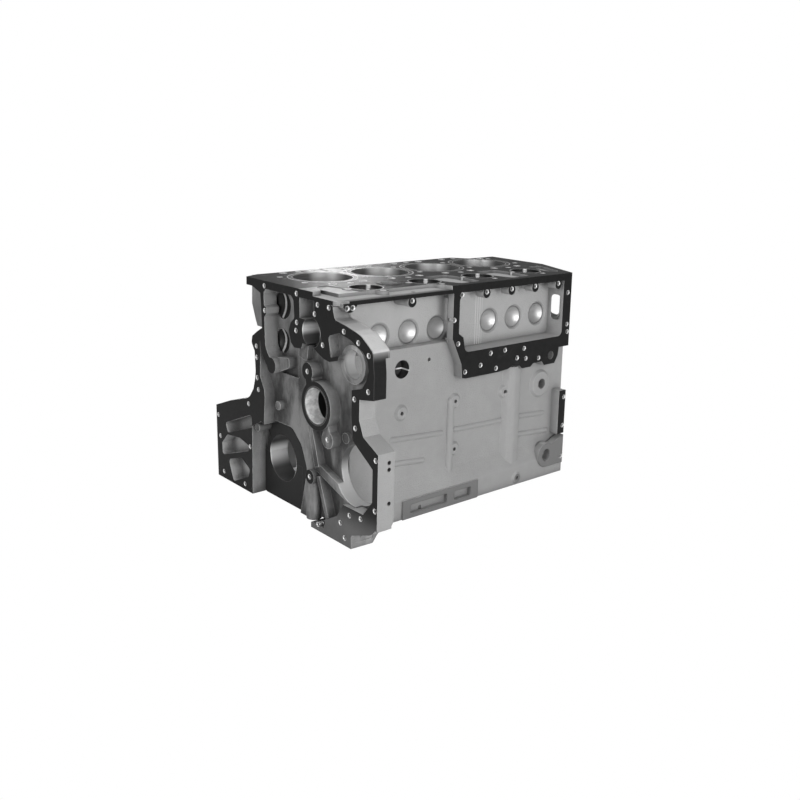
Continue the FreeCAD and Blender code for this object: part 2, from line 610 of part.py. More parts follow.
def bearing_cuts():
    """Crankshaft bores, cap registers and cap bolt holes in the webs."""
    cuts = [rod_x(0.0, 0.0, main_bore_radius, pad_x - 5.0, main_x(cylinders) + web_thickness)]
    seal = rod_x(0.0, 0.0, rear_seal_radius, main_x(cylinders) + web_thickness / 2.0, rear_x + 1.0)
    gate = box(main_x(cylinders) + web_thickness / 2.0, rear_x + 1.0, -rear_seal_radius,
               rear_seal_radius, rail_z - 1.0, 0.0)
    cuts += [seal, gate]
    half = web_thickness / 2.0
    for index in range(cylinders + 1):
        x = main_x(index)
        cuts.append(box(x - half - 1.0, x + half + 1.0, -cap_half_width - cap_side_gap,
                        cap_half_width + cap_side_gap, rail_z - 1.0, 0.0))
        for side in (-1.0, 1.0):
            cuts.append(rod_z(x, side * cap_bolt_y, cap_bolt_radius + fit_gap, -1.0, cap_bolt_reach + 6.0))
    return cuts


def cylinder_cuts():
    """Liner seats, water jacket and lower liner guides."""
    cuts = []
    outer = bore_radius + liner_wall
    for index in range(cylinders):
        x = cylinder_x(index)
        cuts.append(rod_z(x, 0.0, outer + fit_gap, deck_z - liner_length - liner_end_gap, deck_z + 1.0))
        cuts.append(rod_z(x, 0.0, liner_flange_radius + fit_gap, deck_z - liner_flange_height,
                          deck_z + 1.0))
    first = cylinder_x(0) - outer - jacket_end_gap
    last = cylinder_x(cylinders - 1) + outer + jacket_end_gap
    jacket = prism_z([(first, -jacket_half_width, 40.0), (last, -jacket_half_width, 40.0),
                      (last, rear_far_y - wall, 14.0), (rear_step_x - 6.0, rear_far_y - wall, 8.0),
                      (rear_step_x - 24.0, jacket_half_width, 10.0),
                      (first, jacket_half_width, 40.0)], jacket_low_z, jacket_high_z)
    cuts.append(jacket)
    return cuts


def cam_and_pump_cuts():
    """Camshaft tunnel with its bearing seats, pump bores and the tappet bores between them."""
    cuts = [rod_x(cam_y, cam_z, cam_seat_radius, front_x - 1.0, cam_end_x)]
    half = web_thickness / 2.0
    for index in range(cylinders):
        x0 = main_x(index) + half
        x1 = main_x(index + 1) - half
        cuts.append(prism_x([(-150.0, 60.0), (-150.0, 100.0), (-122.0, 100.0), (-122.0, 60.0)],
                            x0 + 12.0, x1 - 12.0))
        chamber = box(pump_x(index) - pump_chamber_half, pump_x(index) + pump_chamber_half,
                      near_panel_y + wall, head_bolt_near_y - 14.0,
                      pump_chamber_low_z, pump_chamber_high_z)
        cuts.append(chamber)
        cuts.append(rod_z(pump_x(index), pump_y, pump_bore_radius, pump_chamber_high_z - 1.0,
                          deck_z + 1.0))
        cuts.append(rod_z(pump_x(index), pump_y, tappet_radius, 160.0, pump_chamber_low_z + 1.0))
        cuts.append(rod_z(pump_x(index), pump_y, pump_seat_radius, deck_z - pump_seat_depth,
                          deck_z + 1.0))
        for dx, dy in pump_studs:
            cuts.append(rod_z(pump_x(index) + dx, pump_y + dy, pump_stud_radius, deck_z - 26.0,
                              deck_z + 1.0))
    return cuts


def deck_holes():
    """Head bolt, water and oil holes of the deck."""
    cuts = []
    for index in range(cylinders):
        x = cylinder_x(index)
        for shift in (-head_bolt_shift, head_bolt_shift):
            spots = [(x + shift, head_bolt_near_y), (x + shift, head_bolt_far_y)]
            if index == cylinders - 1 and shift > 0.0:
                spots[1] = (rear_x - rear_far_y + 12.0, last_bolt_y)
            for u, v in spots:
                cuts.append(rod_z(u, v, head_bolt_radius, deck_z - head_bolt_depth, deck_z + 1.0))
        cuts.append(rod_z(x, -82.0, 4.5, deck_z - 30.0, deck_z + 1.0))
        cuts.append(rod_z(x, 78.0, 4.5, deck_z - 30.0, deck_z + 1.0))
    for index in range(cylinders + 1):
        for side in (-39.0, 39.0):
            cuts.append(rod_z(main_x(index), side, 4.5, deck_z - 22.0, deck_z + 1.0))
    cuts.append(rod_z(feed_bore_x, feed_bore_y, feed_bore_radius, deck_z - feed_bore_depth,
                      deck_z + 1.0))
    cuts.append(rod_z(feed_bore_x - 2.0, -182.0, pump_stud_radius, deck_z - 26.0, deck_z))
    return cuts


def front_holes():
    """Threaded holes of the gear-case flange."""
    spots = ((17.0, 311.0), (16.0, 268.0), (44.0, 200.0), (43.0, 180.0), (42.0, 143.0),
             (38.0, 122.0), (-82.0, 311.0), (-83.0, 263.0), (-81.0, 249.0), (-142.0, 301.0),
             (-173.0, 301.0), (-134.0, 285.0), (-157.0, 238.0), (-213.0, 269.5), (-250.0, 258.0),
             (-276.0, 243.0), (-276.0, 187.0), (-242.0, 168.0), (-245.0, 122.0), (-297.0, 84.0),
             (-297.0, 3.0), (-233.0, -25.0), (-262.0, -21.0), (-209.0, -45.0), (-147.0, -69.0),
             (-221.0, -67.0), (183.0, 41.0), (176.0, 1.0), (164.0, -67.0), (87.0, -69.0),
             (68.0, 8.0), (72.0, 88.0), (-114.0, 186.0), (-166.0, 82.0), (-122.0, 7.0))
    return [rod_x(y, z, front_hole_radius, front_x - 1.0, front_x + front_hole_depth)
            for y, z in spots]


def corner_passage():
    """Open passage behind the rear corner flange, from the cooler recess to the flywheel end."""
    mouth = rounded_rectangle(near_flange_y + 4.0, near_panel_y - 11.0,
                              passage_low_z, passage_high_z, 8.0)
    slant = rear_x - rear_pocket_x
    face = Part.Face(closed_wire(mouth, on_x(rear_pocket_x - 2.0)))
    return face.extrude(Vec(slant, 0.9 * slant, 0))


def near_side_cuts():
    """Bores, windows and threaded holes of the camshaft side."""
    cuts = []
    flange_in = near_flange_y - 1.0
    chamber = [(-47.0, 234.0, 4.0), (-47.0, 294.0, 8.0), (-38.0, deck_z - deck_slab),
               (rear_pocket_x, deck_z - deck_slab), (rear_pocket_x, 199.0, 10.0),
               (-30.0, 199.0, 10.0), (-36.0, 226.0)]
    hollow = prism_y(chamber, flange_in, near_panel_y)
    lobes = [rod_y(x, band_hole_z - 2.0, band_boss_radius, near_flange_y, near_flange_y + 20.0)
             for x in band_stations[2:]]
    cuts.append(hollow.cut(lobes))
    cuts.append(rod_y(-158.0, 182.0, 15.5, near_wall_y - 8.0, near_wall_y + 20.0))
    cuts.append(rod_y(194.0, 105.0, 10.0, near_wall_y - 8.0, near_wall_y + 14.0))
    for x, z in ((-160.0, 106.0), (-35.0, 107.0), (92.0, 105.0), (104.0, 12.0), (-34.0, 18.0),
                 (-97.0, 191.0), (18.0, -37.0), (29.0, -42.0)):
        cuts.append(rod_y(x, z, 3.5, near_wall_y - 8.0, near_wall_y + 6.0))
    for x, z in ((-59.0, 259.0), (-48.0, 216.0), (-29.0, 163.0), (9.0, 170.0), (34.0, 189.0),
                 (71.0, 190.0), (49.0, 159.0), (122.0, 187.0), (104.0, 171.0), (128.0, 167.0),
                 (164.0, 163.0), (239.0, 282.0), (241.0, 220.0), (243.0, 205.0)):
        cuts.append(rod_y(x, z, front_hole_radius, flange_in, near_flange_y + front_hole_depth))
    for x in (front_x + 16.0, front_x + 27.0) + band_stations:
        cuts.append(rod_y(x, band_hole_z, front_hole_radius, flange_in,
                          near_flange_y + front_hole_depth))
    cuts.append(rod_y(198.0, 164.0, 8.0, flange_in, near_flange_y + 15.0))
    cuts.append(corner_passage())
    for x0, x1 in ((-148.0, -62.0), (-45.0, -4.0)):
        cuts.append(prism_y(rounded_rectangle(x0, x1, rail_z + 8.0, rail_z + 25.0, 3.0), flange_in,
                            near_rail_y + 6.0))
    cuts.append(rod_y(120.0, -66.0, 3.5, flange_in, near_rail_y + 8.0))
    cuts.append(rod_y(201.0, -37.0, 12.0, flange_in, near_rail_y + 14.0))
    for x, z in ((244.0, 74.0), (244.0, 16.0), (244.0, -48.0)):
        cuts.append(rod_y(x, z, front_hole_radius, flange_in, near_flange_y + 12.0))
    return cuts


# ---- casting: far side and flywheel end -----------------------------------------------------------------------------
def far_side_forms():
    """Stiffening ribs and mounting pads on the side away from the camshaft."""
    forms = []
    for index in range(1, cylinders):
        x = main_x(index)
        forms.append(box(x - 6.0, x + 6.0, far_wall_y - 2.0, far_wall_y + rib_height,
                         far_shoulder_z - 10.0, deck_z - deck_slab + 1.0))
        forms.append(prism_x([(far_wall_y - 4.0, far_shoulder_z), (far_wall_y + rib_height, far_shoulder_z + 4.0),
                              (far_skirt_y + rib_height, far_skirt_z + 4.0, 20.0),
                              (far_skirt_y + rib_height, rail_z + rail_height - 1.0),
                              (far_skirt_y - 4.0, rail_z + rail_height - 1.0),
                              (far_skirt_y - 4.0, far_skirt_z - 4.0)], x - 5.0, x + 5.0))
    for x in mount_pad_stations:
        forms.append(prism_y(rounded_rectangle(x - 44.0, x + 44.0, -46.0, 34.0, 12.0),
                             far_skirt_y - 3.0, far_skirt_y + rib_height + 6.0))
    return forms


def far_side_cuts():
    """Threaded holes of the engine mounting pads."""
    cuts = []
    face_y = far_skirt_y + rib_height + 6.0
    for x in mount_pad_stations:
        for dx in (-mount_hole_x, mount_hole_x):
            for dz in (-mount_hole_z, mount_hole_z):
                cuts.append(rod_y(x + dx, -6.0 + dz, mount_hole_radius, face_y - 22.0, face_y + 1.0))
    return cuts


def rear_cuts():
    """Bolt circle of the crankshaft seal carrier and the flywheel housing holes."""
    cuts = []
    for step in range(7):
        angle = math.radians(-15.0 + 35.0 * step)
        cuts.append(rod_x(seal_bolt_circle * math.cos(angle), seal_bolt_circle * math.sin(angle),
                          front_hole_radius, rear_x - front_hole_depth, rear_x + 1.0))
    for y, z in ((-66.0, 300.0), (40.0, 300.0), (-66.0, 200.0), (56.0, 200.0), (120.0, 30.0),
                 (126.0, -64.0)):
        cuts.append(rod_x(y, z, housing_hole_radius, rear_x - 24.0, rear_x + 1.0))
    return cuts


def pan_rail_holes():
    """Threaded holes of the oil pan along both rails."""
    cuts = []
    for step in range(9):
        x = main_x(0) + 10.0 + step * pitch / 2.0
        cuts.append(rod_z(x, near_rail_y + 7.0, pan_hole_radius, rail_z - 1.0, rail_z + 14.0))
        cuts.append(rod_z(x, (bay_far_y + far_rail_y) / 2.0, pan_hole_radius, rail_z - 1.0,
                          rail_z + 12.0))
    return cuts


def side_plug_stations():
    return [cylinder_x(0) + pitch / 2.0 * step for step in (0, 1, 2, 4, 5, 6)]


def plug_cuts():
    """Seats of the core plugs."""
    cuts = []
    for x in side_plug_stations():
        cuts.append(rod_y(x, side_plug_z, side_plug_radius + fit_gap, near_panel_y - 1.0,
                          near_panel_y + wall + 4.0))
        cuts.append(Part.makeCone(side_plug_radius + plug_seat_chamfer, side_plug_radius,
                                  plug_seat_chamfer, Vec(x, near_panel_y, side_plug_z), Vec(0, 1, 0)))
    for x in far_plug_stations():
        cuts.append(rod_y(x, side_plug_z, side_plug_radius + fit_gap, jacket_half_width - 6.0,
                          far_wall_y + 1.0))
    for z, radius in ((front_plug_z, front_plug_radius), (front_plug_low_z, front_plug_low_radius)):
        cuts.append(rod_x(0.0, z, radius + fit_gap, pad_x - 1.0, pad_x + 16.0))
    return cuts


# ---- fitted parts -----------------------------------------------------------------------------------------------------
def main_bearing_cap(index):
    """Cap of one main bearing, dowelled between the cheeks of its web."""
    x = main_x(index)
    half = web_thickness / 2.0 if index in (0, cylinders) else cap_thickness / 2.0
    low = rail_z if index == 0 else -cap_depth
    outline = [(-cap_half_width, 0.0), (-cap_half_width, low, 6.0), (cap_half_width, low, 6.0),
               (cap_half_width, 0.0)]
    cap = prism_x(outline, x - half, x + half)
    cap = cap.cut(rod_x(0.0, 0.0, main_bore_radius, x - half - 1.0, x + half + 1.0))
    for side in (-1.0, 1.0):
        cap = cap.cut(rod_z(x, side * cap_bolt_y, cap_bolt_radius + bolt_hole_gap, low - 1.0, 1.0))
        if low < -cap_depth:
            cap = cap.cut(box(x - cap_bolt_head_radius - 2.0, x + half + 1.0,
                              min(side * (cap_bolt_y - 12.0), side * (cap_half_width + 1.0)),
                              max(side * (cap_bolt_y - 12.0), side * (cap_half_width + 1.0)),
                              low - 1.0, -cap_depth))
    return one_solid(cap)


def main_cap_bolts():
    """Ten hexagon bolts of the main caps."""
    bolts = []
    seat_z = -cap_depth
    for index in range(cylinders + 1):
        for side in (-1.0, 1.0):
            x = main_x(index)
            y = side * cap_bolt_y
            corners = [(x + cap_bolt_head_radius * math.cos(math.radians(60.0 * k)),
                        y + cap_bolt_head_radius * math.sin(math.radians(60.0 * k)))
                       for k in range(6)]
            head = prism_z(corners, seat_z - cap_bolt_head_height, seat_z)
            shank = rod_z(x, y, cap_bolt_radius, seat_z - 1.0, cap_bolt_reach)
            bolts.append(one_solid(head.fuse(shank)))
    return Part.Compound(bolts)


def camshaft_bushing(index):
    """Steel-backed bushing pressed in one camshaft seat."""
    half = web_thickness / 2.0
    x0 = front_x if index == 0 else main_x(index) - half
    x1 = cam_end_x if index == cylinders else main_x(index) + half
    outer = rod_x(cam_y, cam_z, cam_seat_radius - fit_gap, x0, x1)
    bushing = outer.cut(rod_x(cam_y, cam_z, cam_seat_radius - cam_bush_wall, x0 - 1.0, x1 + 1.0))
    hole = rod_z(x0 + (20.0 if index == 0 else (x1 - x0) / 2.0), cam_y, 3.0, cam_z,
                 cam_z + cam_seat_radius + 1.0)
    return one_solid(bushing.cut(hole))


def cylinder_liner(index):
    """Wet cylinder liner with its top flange."""
    x = cylinder_x(index)
    body = rod_z(x, 0.0, bore_radius + liner_wall, deck_z - liner_length, deck_z)
    flange = rod_z(x, 0.0, liner_flange_radius, deck_z - liner_flange_height, deck_z)
    liner = body.fuse(flange).cut(rod_z(x, 0.0, bore_radius, deck_z - liner_length - 1.0, deck_z + 1.0))
    return one_solid(liner.removeSplitter())


def core_plug(centre, direction, radius):
    """Dished core plug; centre lies on its open face, direction points into the block."""
    cup = Part.makeCylinder(radius, plug_depth, centre, direction)
    rim = radius - plug_wall
    dish = plug_depth - plug_wall
    ball = (rim * rim + dish * dish) / (2.0 * dish)
    hollow = Part.makeSphere(ball, centre + direction * (dish - ball))
    return one_solid(cup.cut(hollow))


def side_plugs():
    plugs = []
    for x in side_plug_stations():
        plugs.append(core_plug(Vec(x, near_panel_y + plug_stand, side_plug_z), Vec(0, 1, 0), side_plug_radius))
    return plugs


def far_plug_stations():
    return [cylinder_x(index) + far_plug_shift for index in range(cylinders)]


def far_plugs():
    return [core_plug(Vec(x, far_wall_y - plug_stand, side_plug_z), Vec(0, -1, 0), side_plug_radius)
            for x in far_plug_stations()]


def front_plugs():
    return [core_plug(Vec(pad_x + front_plug_stand, 0.0, front_plug_z), Vec(1, 0, 0), front_plug_radius),
            core_plug(Vec(pad_x + front_plug_stand, 0.0, front_plug_low_z), Vec(1, 0, 0),
                      front_plug_low_radius)]


def build_casting():
    adds = core_body() + deck_plate() + front_strips() + near_wing() + front_foot()
    adds += front_bosses() + far_wing() + near_side_forms() + far_side_forms()
    hollowed = fuse(adds).cut(crankcase_hollows() + front_cuts() + deck_pockets())
    casting = fuse([hollowed] + bearing_saddles())
    cuts = bearing_cuts() + cylinder_cuts() + cam_and_pump_cuts() + deck_holes() + front_holes()
    cuts += near_side_cuts() + far_side_cuts() + rear_cuts() + plug_cuts() + pan_rail_holes()
    return one_solid(casting.cut(cuts))


def main():
    os.makedirs("parts", exist_ok=True)
    nodes = {"cylinder_block": build_casting(), "main_cap_bolts": main_cap_bolts()}
    for index in range(cylinders + 1):
        nodes["main_bearing_cap_%d" % (index + 1)] = main_bearing_cap(index)
        nodes["camshaft_bushing_%d" % (index + 1)] = camshaft_bushing(index)
    for index in range(cylinders):
        nodes["cylinder_liner_%d" % (index + 1)] = cylinder_liner(index)
    for index, plug in enumerate(side_plugs()):
        nodes["side_core_plug_%d" % (index + 1)] = plug
    for index, plug in enumerate(far_plugs()):
        nodes["far_core_plug_%d" % (index + 1)] = plug
    for index, plug in enumerate(front_plugs()):
        nodes["front_core_plug_%d" % (index + 1)] = plug
    for name, shape in nodes.items():
        shape.exportStep("parts/%s.step" % name)


main()
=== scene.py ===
import bpy
import math
from mathutils import Matrix, Vector


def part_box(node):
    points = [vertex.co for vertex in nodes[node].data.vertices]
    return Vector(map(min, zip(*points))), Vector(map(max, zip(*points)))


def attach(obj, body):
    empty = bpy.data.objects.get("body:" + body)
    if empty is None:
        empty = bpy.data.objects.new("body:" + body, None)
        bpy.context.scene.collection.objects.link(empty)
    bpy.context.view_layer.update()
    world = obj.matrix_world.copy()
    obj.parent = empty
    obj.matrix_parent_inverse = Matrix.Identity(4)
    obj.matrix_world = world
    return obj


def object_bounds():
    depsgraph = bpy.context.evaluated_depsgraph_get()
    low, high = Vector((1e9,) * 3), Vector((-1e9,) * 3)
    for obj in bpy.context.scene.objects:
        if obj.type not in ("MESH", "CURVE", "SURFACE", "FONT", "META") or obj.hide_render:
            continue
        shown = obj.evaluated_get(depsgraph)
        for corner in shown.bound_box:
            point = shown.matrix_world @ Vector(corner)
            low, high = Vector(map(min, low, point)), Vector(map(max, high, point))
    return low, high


# Looks of a bare engine block: cast iron with dark machined faces, bright bores and plugs.
# Metres, +X to the flywheel end, -Y to the camshaft side, +Z up.

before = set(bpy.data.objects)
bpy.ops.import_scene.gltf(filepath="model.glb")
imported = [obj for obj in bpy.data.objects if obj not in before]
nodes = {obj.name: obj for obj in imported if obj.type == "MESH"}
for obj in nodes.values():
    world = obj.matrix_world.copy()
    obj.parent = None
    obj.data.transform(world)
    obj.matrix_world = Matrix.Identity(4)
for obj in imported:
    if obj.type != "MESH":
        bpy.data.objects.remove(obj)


def plain_box():
    low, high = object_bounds()
    return [list(map(float, low)), list(map(float, high))]


cad_box = plain_box()
low_corner, high_corner = cad_box

# ---- main planes of the part -----------------------------------------------------------------
front_x = low_corner[0]
rear_x = high_corner[0]
deck_z = high_corner[2]
rail_z = low_corner[2]
cover_y = -0.200            # cover flange and side pads
panel_y = -0.162            # panel that carries the side plugs
pad_x = front_x + 0.027     # machined pad around the main bore

# ---- cylinders and pump bores, along the deck ------------------------------------------------
cylinder_pitch = 0.130
cylinder_stations = [sum(corner[0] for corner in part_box("cylinder_liner_%d" % k)) / 2
                     for k in (1, 2, 3, 4)]
pump_y = -0.134
pump_centres = [(station - 0.007, pump_y) for station in cylinder_stations]
pump_bore_radius = 0.0225
pump_seat_radius = 0.0280

# ---- other turned bores: where the axis crosses the face, and the radius ---------------------
drive_bore = ((-0.234, 0.039), 0.049)
idler_bore = ((-0.222, 0.217), 0.023)
gallery_bore = ((-0.125, 0.253), 0.025)
main_bore = ((0.0, 0.0), 0.042)
side_port = ((-0.158, 0.182), 0.0155)


# ---- node helpers ----------------------------------------------------------------------------
class Shader:
    """Short way to write node trees: most calls return a socket."""

    def __init__(self, name, rounding=0.0):
        self.rounding = rounding
        self.material = bpy.data.materials.new(name)
        self.material.use_nodes = True
        self.tree = self.material.node_tree
        self.surface = self.tree.nodes["Principled BSDF"]
        self.place = self.new("TexCoord").outputs["Object"]
        self.x, self.y, self.z = self.split(self.place)
        geometry = self.new("NewGeometry")
        self.nx, self.ny, self.nz = self.split(geometry.outputs["Normal"])
        self.pointiness = geometry.outputs["Pointiness"]

    def new(self, kind):
        return self.tree.nodes.new("ShaderNode" + kind)

    def link(self, source, socket):
        self.tree.links.new(source, socket)

    def feed(self, socket, value):
        """A link where value is a socket, otherwise a fixed value."""
        if isinstance(value, bpy.types.NodeSocket):
            self.link(value, socket)
        else:
            socket.default_value = value

    def split(self, vector):
        node = self.new("SeparateXYZ")
        self.link(vector, node.inputs[0])
        return node.outputs

    def maths(self, operation, first, second=0.0):
        node = self.new("Math")
        node.operation = operation
        for socket, value in zip(node.inputs, (first, second)):
            self.feed(socket, value)
        return node.outputs[0]

    def fold(self, operation, values):
        total = values[0]
        for value in values[1:]:
            total = self.maths(operation, total, value)
        return total

    def add(self, *values):
        return self.fold("ADD", values)

    def times(self, *values):
        return self.fold("MULTIPLY", values)

    def both(self, *masks):
        """Where every mask holds."""
        return self.fold("MINIMUM", masks)

    def either(self, *masks):
        """Where any mask holds."""
        return self.fold("MAXIMUM", masks)

    def subtract(self, a, b):
        return self.maths("SUBTRACT", a, b)

    def inverse(self, a):
        return self.maths("SUBTRACT", 1.0, a)

    def size(self, a):
        return self.maths("ABSOLUTE", a)

    def step(self, value, start, end):
        """0 below start and 1 above end; start may be the larger of the two."""
        node = self.new("MapRange")
        node.interpolation_type = "SMOOTHSTEP"
        if start > end:
            start, end, low, high = end, start, 1.0, 0.0
        else:
            low, high = 0.0, 1.0
        for name, number in (("From Min", start), ("From Max", end),
                             ("To Min", low), ("To Max", high)):
            node.inputs[name].default_value = number
        self.feed(node.inputs["Value"], value)
        return node.outputs["Result"]

    def near(self, value, centre, reach):
        """1 where value is within reach of centre."""
        gap = self.size(self.subtract(value, centre))
        return self.step(gap, reach * 1.1, reach * 0.9)

    def distance(self, u, v, centre):
        du = self.subtract(u, centre[0])
        dv = self.subtract(v, centre[1])
        return self.maths("SQRT", self.add(self.times(du, du), self.times(dv, dv)))

    def ring(self, u, v, bore, reach):
        """1 on the wall of a bore, which is given as centre and radius."""
        centre, radius = bore
        return self.near(self.distance(u, v, centre), radius, reach)

    def along_view(self, u, v):
        """Distance towards the far side, as the photo sees it."""
        return self.add(self.times(u, 0.72), self.times(v, 0.69))

    def noise(self, scale, detail=4.0, rough=0.5, stretch=(1, 1, 1)):
        mapping = self.new("Mapping")
        mapping.inputs["Scale"].default_value = stretch
        self.link(self.place, mapping.inputs["Vector"])
        node = self.new("TexNoise")
        node.inputs["Scale"].default_value = scale
        node.inputs["Detail"].default_value = detail
        node.inputs["Roughness"].default_value = rough
        self.link(mapping.outputs[0], node.inputs["Vector"])
        return node.outputs["Fac"]

    def grains(self, scale):
        node = self.new("TexVoronoi")
        node.inputs["Scale"].default_value = scale
        self.link(self.place, node.inputs["Vector"])
        return node.outputs["Distance"]

    def hollow(self, reach):
        """1 in the open, towards 0 in creases and recesses within reach."""
        node = self.new("AmbientOcclusion")
        node.samples = 8
        node.inputs["Distance"].default_value = reach
        return node.outputs["AO"]

    def rounded(self, reach):
        """The normal as if edges were rounded by reach."""
        bevel = self.new("Bevel")
        bevel.samples = 6
        bevel.inputs["Radius"].default_value = reach
        return bevel.outputs[0]

    def edges(self, reach):
        """1 on sharp edges and creases, from how far the rounded normal turns."""
        turn = self.new("VectorMath")
        turn.operation = "DOT_PRODUCT"
        self.link(self.rounded(reach), turn.inputs[0])
        self.link(self.new("NewGeometry").outputs["True Normal"], turn.inputs[1])
        return self.step(self.inverse(turn.outputs["Value"]), 0.01, 0.10)

    def mix(self, data_type, kind, factor, first, second):
        node = self.new("Mix")
        node.data_type = data_type
        for name, socket_kind, value in (("Factor", "VALUE", factor),
                                         ("A", kind, first), ("B", kind, second)):
            socket = [s for s in node.inputs if s.name == name and s.type == socket_kind][0]
            self.feed(socket, value)
        return [s for s in node.outputs if s.type == kind][0]

    def blend(self, factor, first, second):
        """Mix of two grey levels or colours."""
        first, second = [(value, value, value, 1.0) if isinstance(value, (int, float)) else value
                         for value in (first, second)]
        return self.mix("RGBA", "RGBA", factor, first, second)

    def level(self, factor, first, second):
        """Mix of two numbers."""
        return self.mix("FLOAT", "VALUE", factor, first, second)

    def bump(self, height, strength, distance):
        node = self.new("Bump")
        self.feed(node.inputs["Strength"], strength)
        node.inputs["Distance"].default_value = distance
        self.link(height, node.inputs["Height"])
        if self.rounding:
            self.link(self.rounded(self.rounding), node.inputs["Normal"])
        self.link(node.outputs[0], self.surface.inputs["Normal"])

    def finish(self, colour, rough, metallic, specular=0.5):
        self.feed(self.surface.inputs["Base Color"], colour)
        self.feed(self.surface.inputs["Specular IOR Level"], specular)
        self.feed(self.surface.inputs["Roughness"], rough)
        self.feed(self.surface.inputs["Metallic"], metallic)
        return self.material


# ---- material of the casting -----------------------------------------------------------------
class Casting(Shader):
    """Sand-cast iron with its machined faces: which is which follows from place and facing."""

    def __init__(self):
        super().__init__("cast_and_machined_iron", 0.0022)
        self.forward = self.step(self.nx, -0.90, -0.97)
        self.upward = self.step(self.nz, 0.90, 0.97)
        self.nearward = self.step(self.ny, -0.90, -0.97)
        self.cloud = self.noise(14.0, 5.0, 0.6)
        self.mottle = self.noise(60.0, 4.0, 0.6)
        self.sand = self.noise(900.0, 3.0, 0.65)
        self.open_air = self.hollow(0.022)
        # painted highlight mask: sharp edges that stand in the open
        self.lit_edges = self.both(self.edges(0.0016), self.step(self.open_air, 0.55, 0.85))
        self.find_faces()
        self.find_bores()
        self.find_gear_end()

    def find_faces(self):
        """Gasket faces (gear-case flange, bearing pad, cover flange, side pads) and the deck."""
        flange = self.both(self.forward, self.step(self.x, front_x + 0.0012, front_x + 0.0006))
        self.pad = self.both(self.forward, self.near(self.x, pad_x, 0.0012),
                             self.step(self.z, 0.072, 0.066), self.near(self.y, -0.010, 0.080))
        cover = self.both(self.nearward, self.near(self.y, cover_y, 0.0006))
        self.low_cover = self.both(cover, self.step(self.z, 0.000, -0.010))
        wing_side = self.both(self.nearward, self.step(self.y, -0.284, -0.288),
                              self.step(self.z, 0.150, 0.165))
        self.black = self.either(flange, self.pad, cover, wing_side)
        self.deck = self.both(self.upward, self.step(self.z, deck_z - 0.0025, deck_z - 0.0018))

    def find_bores(self):
        """Turned walls; each pump bore gets one upright painted highlight on its far wall."""
        rings = [self.both(self.ring(self.y, self.z, bore, 0.0008),
                           self.step(self.x, -0.240, -0.245))
                 for bore in (drive_bore, idler_bore, gallery_bore)]
        rings.append(self.ring(self.y, self.z, main_bore, 0.0008))
        rings.append(self.both(self.ring(self.x, self.z, side_port, 0.0008),
                               self.step(self.y, -0.150, -0.155)))
        streaks = []
        for centre in pump_centres:
            gap = self.distance(self.x, self.y, centre)
            wall = self.both(self.near(gap, pump_bore_radius, 0.0008),
                             self.step(self.z, 0.262, 0.268))
            seat = self.both(self.near(gap, pump_seat_radius, 0.0006),
                             self.step(self.z, deck_z - 0.0072, deck_z - 0.0064))
            rings += [wall, seat]
            # painted highlight: an upright band on the far wall of each pump bore
            along = self.along_view(self.subtract(self.x, centre[0]),
                                    self.subtract(self.y, centre[1]))
            streaks.append(self.both(self.either(wall, seat),
                                     self.step(self.maths("DIVIDE", along, gap), 0.983, 0.998)))
        self.bores = self.either(*rings)
        self.streak_highlight = self.either(*streaks)

    def find_gear_end(self):
        """Faces behind the gear-case flange."""
        behind = self.both(self.step(self.x, pad_x + 0.008, pad_x + 0.002),
                           self.step(self.nx, -0.2, -0.8))
        within = self.both(self.step(self.x, pad_x + 0.004, pad_x),
                           self.step(self.y, -0.245, -0.235), self.step(self.y, 0.160, 0.150),
                           self.step(self.z, 0.304, 0.296))
        self.inside = self.either(behind, self.times(within, 0.55))

    def cast_tone(self):
        tone = self.add(self.times(self.subtract(self.cloud, 0.5), 0.20),
                        self.times(self.subtract(self.mottle, 0.5), 0.12),
                        self.times(self.subtract(self.sand, 0.5), 0.08))
        cast = self.blend(self.add(0.5, self.times(tone, 2.5)), 0.27, 0.42)

        # painted light on the panels, the upward ledges and a slope on the near side; the crank
        # bays are lighter too
        panel = self.both(self.nearward, self.near(self.y, panel_y, 0.003))
        ledge = self.both(self.upward, self.step(self.y, -0.160, -0.164),
                          self.step(self.z, 0.290, 0.280))
        slope = self.both(self.step(self.y, -0.206, -0.214), self.step(self.z, 0.230, 0.240),
                          self.step(self.x, front_x + 0.001, front_x + 0.002))
        lighter = self.either(self.times(panel, 0.5), ledge, self.times(slope, 1.6))
        cast = self.blend(self.times(lighter, 0.40), cast, 0.72)
        bay = self.both(self.step(self.y, -0.168, -0.166), self.step(self.y, 0.096, 0.090),
                        self.step(self.x, pad_x + 0.010, pad_x + 0.014),
                        self.step(self.x, rear_x - 0.036, rear_x - 0.040),
                        self.step(self.z, 0.110, 0.090))
        cast = self.blend(self.times(bay, 0.5), cast, 0.75)

        # painted shade darkens the gear-case end, in blotches and more towards the bottom; its far
        # wing is lightened by painted light instead
        wing = self.both(self.step(self.y, 0.058, 0.064), self.step(self.z, 0.110, 0.080))
        shade_blotches = self.step(self.noise(17.0, 4.0, 0.62, (1, 1, 0.45)), 0.38, 0.64)
        low = self.step(self.z, 0.310, 0.170)
        front_shade = self.times(self.level(shade_blotches, 1.0, 0.25), self.level(low, 0.35, 1.0),
                           self.level(wing, 1.0, 0.0))
        cast = self.blend(self.times(wing, 0.45), cast, 0.62)
        cast = self.blend(self.times(self.inside, front_shade), cast, 0.055)

        # painted shade in creases and recesses, weaker on the near side; painted highlight on
        # edges in the open
        shade = self.step(self.open_air, 0.95, 0.35)
        side = self.step(self.y, -0.155, -0.165)
        cast = self.blend(self.times(shade, self.level(side, 0.75, 0.45)), cast, 0.04)
        cast = self.blend(self.times(self.lit_edges, self.level(self.inside, 0.40, 0.75)), cast, 0.72)
